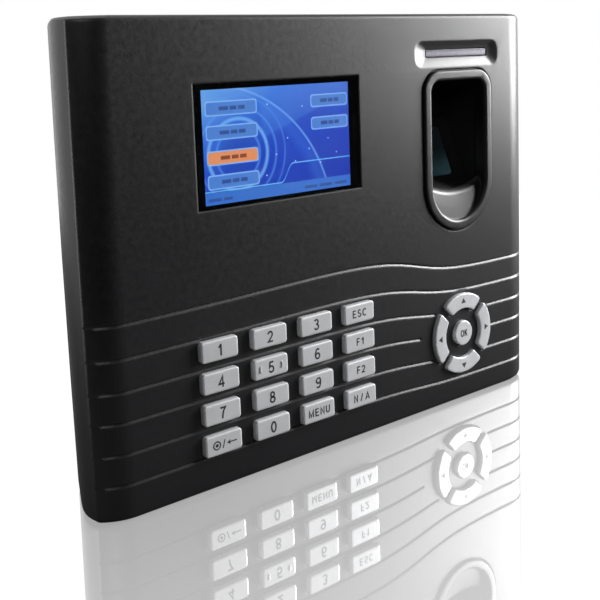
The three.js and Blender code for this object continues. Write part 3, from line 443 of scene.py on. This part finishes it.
def studio_floor():
    """White acrylic: a soft white body, with a gloss before the object that is strongest next to it."""
    s = Surface("studio_floor")
    cloud = s.noise(3, detail=2)
    s.set(Base_Color=s.ramp(cloud, (0.3, (0.105, 0.105, 0.106)), (0.7, (0.115, 0.115, 0.115))))
    s.set(Roughness=s.span(cloud, 0.2, 0.8, 0.55, 0.65))
    s.shader.inputs["Specular IOR Level"].default_value = 0.0
    x, y, _ = s.split()
    ahead = s.span(y, *GLOSS["front"], *GLOSS["share"], smooth=True)
    not_behind = s.span(y, *GLOSS["back"], smooth=True)
    left_end = s.span(x, *GLOSS["left"], smooth=True)
    right_end = s.span(x, *GLOSS["right"], smooth=True)
    near = s.math("MULTIPLY", s.math("MULTIPLY", ahead, not_behind), s.math("MULTIPLY", left_end, right_end))
    seen = s.add("ShaderNodeLightPath").outputs["Is Camera Ray"]
    s.set(Emission_Color=(1, 1, 1), Emission_Strength=s.math("MULTIPLY", seen, 0.95))
    gloss = s.add("ShaderNodeBsdfGlossy")
    s.plug(s.span(cloud, 0.2, 0.8, 0.015, 0.03), gloss.inputs["Roughness"])
    gloss.inputs["Color"].default_value = (1, 1, 1, 1)
    whole = s.add("ShaderNodeMixShader")
    s.plug(s.math("MULTIPLY", near, seen), whole.inputs[0])
    s.tree.links.new(s.shader.outputs[0], whole.inputs[1])
    s.tree.links.new(gloss.outputs[0], whole.inputs[2])
    s.tree.links.new(whole.outputs[0], s.tree.nodes["Material Output"].inputs["Surface"])
    return s.material


STEEL_LOW = (0.36, 0.37, 0.39)
STEEL_HIGH = (0.60, 0.61, 0.62)
MATERIALS = {
    "charcoal": charcoal_plastic(),
    "inner_black": inner_black(),
    "gloss_black": gloss_black(),
    "key_silver": key_silver(),
    "plate_steel": plated_steel("plated_sheet_steel", STEEL_LOW, STEEL_HIGH, (0.04, 1.0, 1.0)),
    "screw_steel": plated_steel("screw_steel", (0.30, 0.30, 0.31), (0.52, 0.52, 0.53), (1.0, 0.1, 1.0),
                                (0.2, 0.34)),
    "display_glass": clear_lens(),
    "lcd": speckled("lcd_frame_metal", (0.16, 0.16, 0.17), (0.22, 0.22, 0.23), 1600, (0.3, 0.45), 0.00002),
    "sensor_glass": sensor_glass(),
    "light_guide": light_guide(),
    "circuit_board": circuit_board(),
    "rubber": speckled("rubber_mat", (0.030, 0.030, 0.032), (0.045, 0.045, 0.047), 1100, (0.7, 0.9),
                       0.00008),
    "terminal_green": speckled("terminal_green", (0.015, 0.13, 0.055), (0.022, 0.18, 0.075), 1300,
                               (0.35, 0.5), 0.00004),
    "battery_wrap": battery_wrap(),
}
INK = legend_ink()


# ---------------------------------------------------------------- CAD nodes: smooth shading and materials


def smooth_by_angle(limit):
    """Node group that shades smooth except across edges steeper than limit."""
    group = bpy.data.node_groups.new("smooth_by_angle", "GeometryNodeTree")
    group.interface.new_socket("Geometry", in_out="INPUT", socket_type="NodeSocketGeometry")
    group.interface.new_socket("Geometry", in_out="OUTPUT", socket_type="NodeSocketGeometry")
    source = group.nodes.new("NodeGroupInput")
    target = group.nodes.new("NodeGroupOutput")
    angle = group.nodes.new("GeometryNodeInputMeshEdgeAngle")
    compare = group.nodes.new("FunctionNodeCompare")
    compare.data_type = "FLOAT"
    compare.operation = "LESS_THAN"
    compare.inputs[1].default_value = limit
    faces = group.nodes.new("GeometryNodeSetShadeSmooth")
    faces.domain = "FACE"
    edges = group.nodes.new("GeometryNodeSetShadeSmooth")
    edges.domain = "EDGE"
    links = group.links
    links.new(source.outputs[0], faces.inputs["Geometry"])
    links.new(angle.outputs["Unsigned Angle"], compare.inputs[0])
    links.new(faces.outputs[0], edges.inputs["Geometry"])
    links.new(compare.outputs[0], edges.inputs["Shade Smooth"])
    links.new(edges.outputs[0], target.inputs[0])
    return group


def dress(node, material, group):
    """Gives one CAD node its material, and shading that keeps flat faces flat and edges crisp."""
    mesh = node.data
    stale = mesh.attributes.get("custom_normal")
    if stale:
        mesh.attributes.remove(stale)
    weld = node.modifiers.new("weld", "WELD")
    weld.merge_threshold = WELD_GAP * MM
    smooth = node.modifiers.new("smooth", "NODES")
    smooth.node_group = group
    even = node.modifiers.new("even", "WEIGHTED_NORMAL")
    even.mode = "FACE_AREA"
    even.weight = 60
    even.keep_sharp = True
    mesh.materials.clear()
    mesh.materials.append(material)


def dress_cad_nodes():
    group = smooth_by_angle(SMOOTH_LIMIT)
    for row in frame["record"]["subparts"]:
        dress(nodes[row["node"]], MATERIALS[row["material_slot"]], group)


# ---------------------------------------------------------------- new pieces


def place_piece(obj, body, material):
    """Gives a new piece its material and body."""
    obj.data.materials.clear()
    obj.data.materials.append(material)
    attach(obj, body)


def link(name, data):
    obj = bpy.data.objects.new(name, data)
    bpy.context.scene.collection.objects.link(obj)
    return obj


def slab(name, outlines, front, back):
    """A flat piece in the XZ plane from its outlines (outer first, then holes), in millimetres."""
    curve = bpy.data.curves.new(name + "_curve", "CURVE")
    curve.dimensions = "2D"
    curve.fill_mode = "BOTH"
    curve.extrude = abs(back - front) / 2 * MM
    for outline in outlines:
        spline = curve.splines.new("POLY")
        spline.points.add(len(outline) - 1)
        for point, (x, z) in zip(spline.points, outline):
            point.co = (x * MM, z * MM, 0, 1)
        spline.use_cyclic_u = True
    return flat_mesh(name, curve, (front + back) / 2)


def flat_mesh(name, curve, depth):
    """Turns a filled curve drawn in XY into a mesh standing in the XZ plane at y = depth."""
    holder = bpy.data.objects.new(name + "_source", curve)
    bpy.context.scene.collection.objects.link(holder)
    bpy.context.view_layer.update()
    evaluated = holder.evaluated_get(bpy.context.evaluated_depsgraph_get())
    mesh = bpy.data.meshes.new_from_object(evaluated)
    mesh.name = name
    bpy.data.objects.remove(holder)
    mesh.transform(Matrix.Translation((0, depth * MM, 0)) @ Matrix.Rotation(math.radians(90), 4, "X"))
    return link(name, mesh)


def bow(cx, cz, rx, rz, start, end, steps=14):
    """Points along an ellipse, angles in degrees."""
    angles = [math.radians(start + (end - start) * i / steps) for i in range(steps + 1)]
    return [(cx + rx * math.cos(a), cz + rz * math.sin(a)) for a in angles]


def arc_points(cx, cz, radius, start, end, steps):
    return bow(cx, cz, radius, radius, start, end, steps)


def disc(cx, cz, radius, steps):
    return arc_points(cx, cz, radius, 0, 360, steps)[:-1]


def rounded_box(x0, x1, z0, z1, radius, steps=4):
    r = min(radius, (x1 - x0) / 2 - 0.001, (z1 - z0) / 2 - 0.001)
    return [
        *arc_points(x1 - r, z1 - r, r, 0, 90, steps),
        *arc_points(x0 + r, z1 - r, r, 90, 180, steps),
        *arc_points(x0 + r, z0 + r, r, 180, 270, steps),
        *arc_points(x1 - r, z0 + r, r, 270, 360, steps),
    ]


def middle(node):
    """The middle of a node as seen from the front, in millimetres."""
    low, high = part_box(node)
    return (low.x + high.x) / 2 / MM, (low.z + high.z) / 2 / MM


def body_of(node):
    for body, members in frame["record"]["behaviour"]["bodies"].items():
        if node in members:
            return body
    return "terminal"


# ---------------------------------------------------------------- legends on the keys


def turned_over(strokes, width):
    """The strokes after half a turn, so that a 6 makes a 9."""
    return [[(width - x, 1 - z) for x, z in stroke] for stroke in strokes]


SIX = [bow(0.28, 0.30, 0.215, 0.25, 0, 360), bow(0.31, 0.45, 0.245, 0.50, 52, 190)]

# Plain sans letters as centre lines in a box one unit high: its width, then its strokes.
GLYPHS = {
    "0": (0.56, [bow(0.28, 0.50, 0.22, 0.45, 0, 360)]),
    "1": (0.46, [[(0.09, 0.73), (0.20, 0.80), (0.28, 0.93)], [(0.31, 0.0), (0.31, 1.0)]]),
    "2": (0.56, [bow(0.28, 0.70, 0.21, 0.25, 170, -35) + [(0.30, 0.33), (0.08, 0.07), (0.53, 0.07)]]),
    "3": (0.56, [bow(0.26, 0.735, 0.18, 0.215, 155, -90), bow(0.26, 0.285, 0.215, 0.235, 90, -160)]),
    "4": (0.58, [[(0.40, 0.0), (0.40, 0.94), (0.06, 0.29), (0.56, 0.29)]]),
    "5": (0.56, [[(0.49, 0.95), (0.15, 0.95), (0.10, 0.50)] + bow(0.27, 0.32, 0.22, 0.27, 120, -160)]),
    "6": (0.56, SIX),
    "7": (0.56, [[(0.05, 0.95), (0.51, 0.95), (0.37, 0.72), (0.27, 0.40), (0.22, 0.0)]]),
    "8": (0.56, [bow(0.28, 0.735, 0.175, 0.215, 0, 360), bow(0.28, 0.275, 0.215, 0.235, 0, 360)]),
    "9": (0.56, turned_over(SIX, 0.56)),
    "E": (0.56, [[(0.50, 0.95), (0.08, 0.95), (0.08, 0.05), (0.52, 0.05)], [(0.08, 0.51), (0.46, 0.51)]]),
    "F": (0.52, [[(0.49, 0.95), (0.08, 0.95), (0.08, 0.0)], [(0.08, 0.50), (0.43, 0.50)]]),
    "S": (0.56, [bow(0.28, 0.725, 0.19, 0.225, 25, 235) + bow(0.28, 0.275, 0.215, 0.225, 55, -160)]),
    "C": (0.62, [bow(0.34, 0.50, 0.27, 0.45, 48, 312)]),
    "N": (0.60, [[(0.08, 0.0), (0.08, 0.95), (0.52, 0.05), (0.52, 1.0)]]),
    "A": (0.62, [[(0.02, 0.0), (0.31, 0.96), (0.60, 0.0)], [(0.13, 0.32), (0.49, 0.32)]]),
    "M": (0.74, [[(0.08, 0.0), (0.08, 0.95), (0.37, 0.12), (0.66, 0.95), (0.66, 0.0)]]),
    "U": (0.60, [[(0.08, 1.0), (0.08, 0.33)] + bow(0.30, 0.33, 0.22, 0.28, 180, 360) + [(0.52, 1.0)]]),
    "O": (0.74, [bow(0.37, 0.50, 0.30, 0.45, 0, 360)]),
    "K": (0.60, [[(0.08, 0.0), (0.08, 1.0)], [(0.52, 1.0), (0.10, 0.40)], [(0.24, 0.58), (0.56, 0.0)]]),
    "/": (0.34, [[(0.02, -0.03), (0.32, 1.03)]]),
    " ": (0.04, []),
}


def side_points(points, half):
    """Left and right edges of a stroke along points, mitred at its corners."""
    closed = math.dist(points[0], points[-1]) < 1e-6
    left, right = [], []
    for i, point in enumerate(points):
        before = points[i - 1] if i else (points[-2] if closed else None)
        after = points[i + 1] if i + 1 < len(points) else (points[1] if closed else None)
        ways = [Vector(b) - Vector(a) for a, b in ((before, point), (point, after)) if a and b]
        normals = [Vector((-w.y, w.x)).normalized() for w in ways]
        middle_normal = sum(normals, Vector((0, 0))).normalized()
        reach = half / max(middle_normal.dot(normals[0]), 0.45)
        left.append(Vector(point) + middle_normal * reach)
        right.append(Vector(point) - middle_normal * reach)
    return left, right


def ribbon(points, half, front, back, verts, faces):
    """Adds one flat solid stroke to verts and faces, in the XZ plane from y = front to y = back."""
    left, right = side_points(points, half)
    base = len(verts)
    for a, b in zip(left, right):
        verts += [(a.x, front, a.y), (b.x, front, b.y), (a.x, back, a.y), (b.x, back, b.y)]
    for i in range(len(points) - 1):
        k = base + 4 * i
        faces += [(k, k + 1, k + 5, k + 4), (k + 2, k + 6, k + 7, k + 3)]
        faces += [(k, k + 4, k + 6, k + 2), (k + 1, k + 3, k + 7, k + 5)]
    last = base + 4 * (len(points) - 1)
    faces += [(base, base + 2, base + 3, base + 1), (last, last + 1, last + 3, last + 2)]


def word(name, text, x, z, style, face):
    """Printed text centred on x, z at the depth of the key's face, all in millimetres."""
    height = style["height"]
    wide = height * style["wide"]
    widths = [GLYPHS[c][0] * wide for c in text]
    cursor = x - (sum(widths) + style["gap"] * (len(text) - 1)) / 2
    verts, faces = [], []
    for c, width in zip(text, widths):
        for stroke in GLYPHS[c][1]:
            line = [(cursor + a * wide, z + (b - 0.5) * height) for a, b in stroke]
            ribbon(line, style["stroke"] / 2, face - INK_THICKNESS, face - INK_GAP, verts, faces)
        cursor += width + style["gap"]
    mesh = bpy.data.meshes.new(name)
    mesh.from_pydata([tuple(v * MM for v in point) for point in verts], [], faces)
    return link(name, mesh)


def face_of(node):
    """Depth of a key's front face, in millimetres."""
    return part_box(node)[0].y / MM


def legends():
    for node, text in KEY_WORDS.items():
        x, z = middle(node)
        style = DIGIT if len(text) == 1 else WORD
        place_piece(word("legend_" + node, text, x, z, style, face_of(node)), body_of(node), INK)
    x, z = middle("nav_ok")
    place_piece(word("legend_nav_ok", "OK", x, z, OK_MARK, face_of("nav_ok")), body_of("nav_ok"), INK)


def power_mark():
    """A ringed dot, a slash and a long arrow that points left."""
    x, z = middle("key_power")
    face = face_of("key_power")
    ring_x = x - 2.9
    tip = x + 1.0
    tail = x + 4.9
    shapes = {
        "ring": [disc(ring_x, z, 1.55, 28), disc(ring_x, z, 1.10, 28)],
        "dot": [disc(ring_x, z, 0.58, 16)],
        "slash": [[(x - 0.78, z - 1.4), (x - 0.38, z - 1.4), (x + 0.42, z + 1.4), (x + 0.02, z + 1.4)]],
        "arrow": [[(tip, z), (tip + 1.5, z + 0.85), (tip + 1.2, z + 0.22), (tail, z + 0.22),
                   (tail, z - 0.22), (tip + 1.2, z - 0.22), (tip + 1.5, z - 0.85)]],
    }
    for name, outlines in shapes.items():
        piece = slab("legend_key_power_" + name, outlines, face - INK_THICKNESS, face - INK_GAP)
        place_piece(piece, body_of("key_power"), INK)


def nav_marks():
    """A small solid triangle that points outwards on each arc button."""
    centre = middle("nav_ok")
    for quarter, name in enumerate(NAV_NAMES):
        turn = math.radians(90 * quarter)
        face = face_of(name)
        points = []
        for along, across in NAV_MARK:
            reach = NAV_MARK_REACH + along
            points.append((centre[0] + reach * math.cos(turn) - across * math.sin(turn),
                           centre[1] + reach * math.sin(turn) + across * math.cos(turn)))
        piece = slab("legend_" + name, [points], face - INK_THICKNESS, face - INK_GAP)
        place_piece(piece, body_of(name), INK)


def locating_ribs():
    """Two raised curved ribs beside the middle digit, to find it by touch."""
    x, z = middle("key_5")
    face = face_of("key_5")
    for side, name in ((-1, "left"), (1, "right")):
        centre = x + side * RIB["offset"]
        start = 90 - side * 90 - RIB["half_turn"]
        end = 90 - side * 90 + RIB["half_turn"]
        outer = arc_points(centre, z, RIB["outer"], start, end, 10)
        inner = arc_points(centre, z, RIB["inner"], end, start, 10)
        piece = slab("locating_rib_" + name, [outer + inner], face - RIB["proud"], face)
        bevel = piece.modifiers.new("bevel", "BEVEL")
        bevel.width = RIB["bevel"] * MM
        bevel.segments = 2
        place_piece(piece, body_of("key_5"), MATERIALS["key_silver"])


# ---------------------------------------------------------------- display


def at(u, v):
    """Millimetres on the picture from shares of its width and height, from its top left."""
    return (PICTURE["x0"] + u * (PICTURE["x1"] - PICTURE["x0"]),
            PICTURE["z1"] + v * (PICTURE["z0"] - PICTURE["z1"]))


def screen_box(name, u0, u1, v0, v1, radius, layer, material):
    """A thin lit box on the picture. A higher layer lies nearer the lens."""
    x0, z1 = at(u0, v0)
    x1, z0 = at(u1, v1)
    depth = GLASS_BACK + LAYER["first"] - LAYER["step"] * layer
    piece = slab(name, [rounded_box(x0, x1, z0, z1, radius)], depth, depth + LAYER["thick"])
    place_piece(piece, "terminal", material)


def picture_outline():
    return rounded_box(PICTURE["x0"], PICTURE["x1"], PICTURE["z0"], PICTURE["z1"], 0.3)


def screen():
    front, back = (GLASS_BACK + depth for depth in PICTURE_DEPTH)
    base = slab("screen_picture", [picture_outline()], front, back)
    place_piece(base, "terminal", screen_blue())
    pale = screen_tint("button_outline", (0.30, 0.54, 0.90), (0.12, 0.32, 0.80))
    blue = screen_tint("button_blue", (0.10, 0.30, 0.74), (0.022, 0.10, 0.50))
    orange = screen_tint("button_orange", (0.90, 0.42, 0.20), (0.55, 0.10, 0.015))
    dark = screen_tint("button_word", (0.030, 0.095, 0.36), (0.020, 0.065, 0.28))
    warm = screen_tint("button_word_warm", (0.30, 0.075, 0.03), (0.22, 0.05, 0.02))
    bar = screen_tint("status_bar", (0.05, 0.24, 0.72), (0.015, 0.07, 0.46))
    line = screen_tint("status_line", (0.20, 0.62, 0.90), (0.12, 0.48, 0.86))
    light = screen_tint("screen_white", (0.55, 0.72, 0.95), (0.48, 0.66, 0.92))

    left = ((0.10, 0.23), (0.31, 0.44), (0.53, 0.66), (0.74, 0.87))
    right = ((0.10, 0.22), (0.31, 0.43))
    rows = [(0.02, 0.35, v0, v1, i == 2) for i, (v0, v1) in enumerate(left)]
    rows += [(0.72, 0.99, v0, v1, False) for v0, v1 in right]
    for i, (u0, u1, v0, v1, lit) in enumerate(rows):
        name = "screen_button_" + str(i + 1)
        screen_box(name + "_edge", u0, u1, v0, v1, 1.0, 1, pale)
        screen_box(name, u0 + 0.007, u1 - 0.007, v0 + 0.012, v1 - 0.012, 0.8, 2, orange if lit else blue)
        mid = (v0 + v1) / 2
        for k, (a, b) in enumerate(((0.26, 0.44), (0.47, 0.60), (0.63, 0.76))):
            start = u0 + a * (u1 - u0)
            end = u0 + b * (u1 - u0)
            ink = warm if lit else dark
            screen_box(name + "_word_" + str(k + 1), start, end, mid - 0.016, mid + 0.018, 0.15, 3, ink)
    screen_box("screen_status_bar", 0.0, 1.0, 0.895, 1.0, 0.3, 1, bar)
    for i, (u0, u1) in enumerate(((0.02, 0.10), (0.115, 0.17), (0.66, 0.75), (0.77, 0.86), (0.88, 0.97))):
        screen_box("screen_status_word_" + str(i + 1), u0, u1, 0.945, 0.972, 0.15, 2, dark)
    status_curve(line)
    dots = (
        (0.42, 0.16), (0.47, 0.62), (0.55, 0.48), (0.60, 0.70), (0.66, 0.20),
        (0.70, 0.60), (0.78, 0.74), (0.84, 0.52), (0.90, 0.66), (0.40, 0.80),
    )
    for i, (u, v) in enumerate(dots):
        screen_box("screen_dot_" + str(i + 1), u - 0.004, u + 0.004, v - 0.0065, v + 0.0065, 1, 1, light)


def status_curve(material):
    """The bright line over the status bar: it steps up to the right in one S."""
    points = []
    for i in range(61):
        u = i / 60
        t = min(max((u - 0.50) / 0.08, 0.0), 1.0)
        points.append(at(u, 0.885 - 0.17 * t * t * (3 - 2 * t)))
    thick = 0.16
    outline = [(x, z + thick) for x, z in points] + [(x, z - thick) for x, z in reversed(points)]
    depth = GLASS_BACK + LAYER["line"]
    piece = slab("screen_status_line", [outline], depth, depth + LAYER["thick"])
    place_piece(piece, "terminal", material)


def lens_mask():
    """The black print on the back of the lens, round the picture."""
    low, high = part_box("display_lens")
    x0, x1 = low.x / MM + LENS_MASK_MARGIN, high.x / MM - LENS_MASK_MARGIN
    z0, z1 = low.z / MM + LENS_MASK_MARGIN, high.z / MM - LENS_MASK_MARGIN
    outer = rounded_box(x0, x1, z0, z1, 0.6)
    front, back = (GLASS_BACK + depth for depth in MASK_DEPTH)
    piece = slab("lens_mask", [outer, picture_outline()], front, back)
    place_piece(piece, "terminal", MATERIALS["gloss_black"])


# ---------------------------------------------------------------- studio


def aimed(location, target):
    direction = Vector(target) - Vector(location)
    return direction.to_track_quat("-Z", "Y").to_euler()


def area_light(name, location, target, width, height, power):
    data = bpy.data.lights.new(name, "AREA")
    data.shape = "RECTANGLE"
    data.size = width * MM
    data.size_y = height * MM
    data.energy = power
    obj = link(name, data)
    obj.location = Vector(location) * MM
    obj.rotation_euler = aimed(location, target)


def lights():
    for name, settings in LIGHTS.items():
        area_light(name, *settings)


def world():
    """White to the eye and behind the object, and dark before it, so the front stays near black."""
    scene_world = bpy.data.worlds.new("studio")
    bpy.context.scene.world = scene_world
    scene_world.use_nodes = True
    tree = scene_world.node_tree
    background = tree.nodes["Background"]
    direction = tree.nodes.new("ShaderNodeTexCoord").outputs["Generated"]
    split = tree.nodes.new("ShaderNodeSeparateXYZ")
    tree.links.new(direction, split.inputs["Vector"])
    depth = tree.nodes.new("ShaderNodeMapRange")
    depth.interpolation_type = "SMOOTHSTEP"
    for name, number in WORLD.items():
        depth.inputs[name].default_value = number
    tree.links.new(split.outputs["Y"], depth.inputs["Value"])
    seen = tree.nodes.new("ShaderNodeLightPath").outputs["Is Camera Ray"]
    choose = tree.nodes.new("ShaderNodeMath")
    choose.operation = "MAXIMUM"
    tree.links.new(seen, choose.inputs[0])
    tree.links.new(depth.outputs["Result"], choose.inputs[1])
    tree.links.new(choose.outputs[0], background.inputs["Strength"])
    background.inputs["Color"].default_value = (1, 1, 1, 1)


def floor():
    """A round white sheet under the object. It reaches furthest behind it and to its right."""
    ring = disc(*FLOOR["centre"], FLOOR["radius"], FLOOR["steps"])
    mesh = bpy.data.meshes.new("studio_floor")
    mesh.from_pydata([(x * MM, y * MM, FLOOR_HEIGHT * MM) for x, y in ring], [], [tuple(range(len(ring)))])
    obj = link("studio_floor", mesh)
    mesh.materials.append(studio_floor())


def camera():
    data = bpy.data.cameras.new("camera")
    data.sensor_width = 36
    data.lens = CAMERA["lens"]
    data.shift_y = CAMERA["shift_y"]
    data.clip_start = 0.01
    data.clip_end = 50
    yaw, pitch, roll = (math.radians(CAMERA[name]) for name in ("yaw", "pitch", "roll"))
    turn = Matrix.Rotation(roll, 3, "Y") @ Matrix.Rotation(pitch, 3, "X") @ Matrix.Rotation(yaw, 3, "Z")
    axes = Matrix(((1, 0, 0), (0, 0, -1), (0, 1, 0)))
    obj = link("camera", data)
    place = Matrix.Translation(Vector(CAMERA["place"]) * MM)
    obj.matrix_world = place @ (turn.transposed() @ axes).to_4x4()
    bpy.context.scene.camera = obj


dress_cad_nodes()
legends()
power_mark()
nav_marks()
locating_ribs()
screen()
lens_mask()
camera()
lights()
world()
floor()
bpy.context.scene.view_settings.view_transform = "Standard"
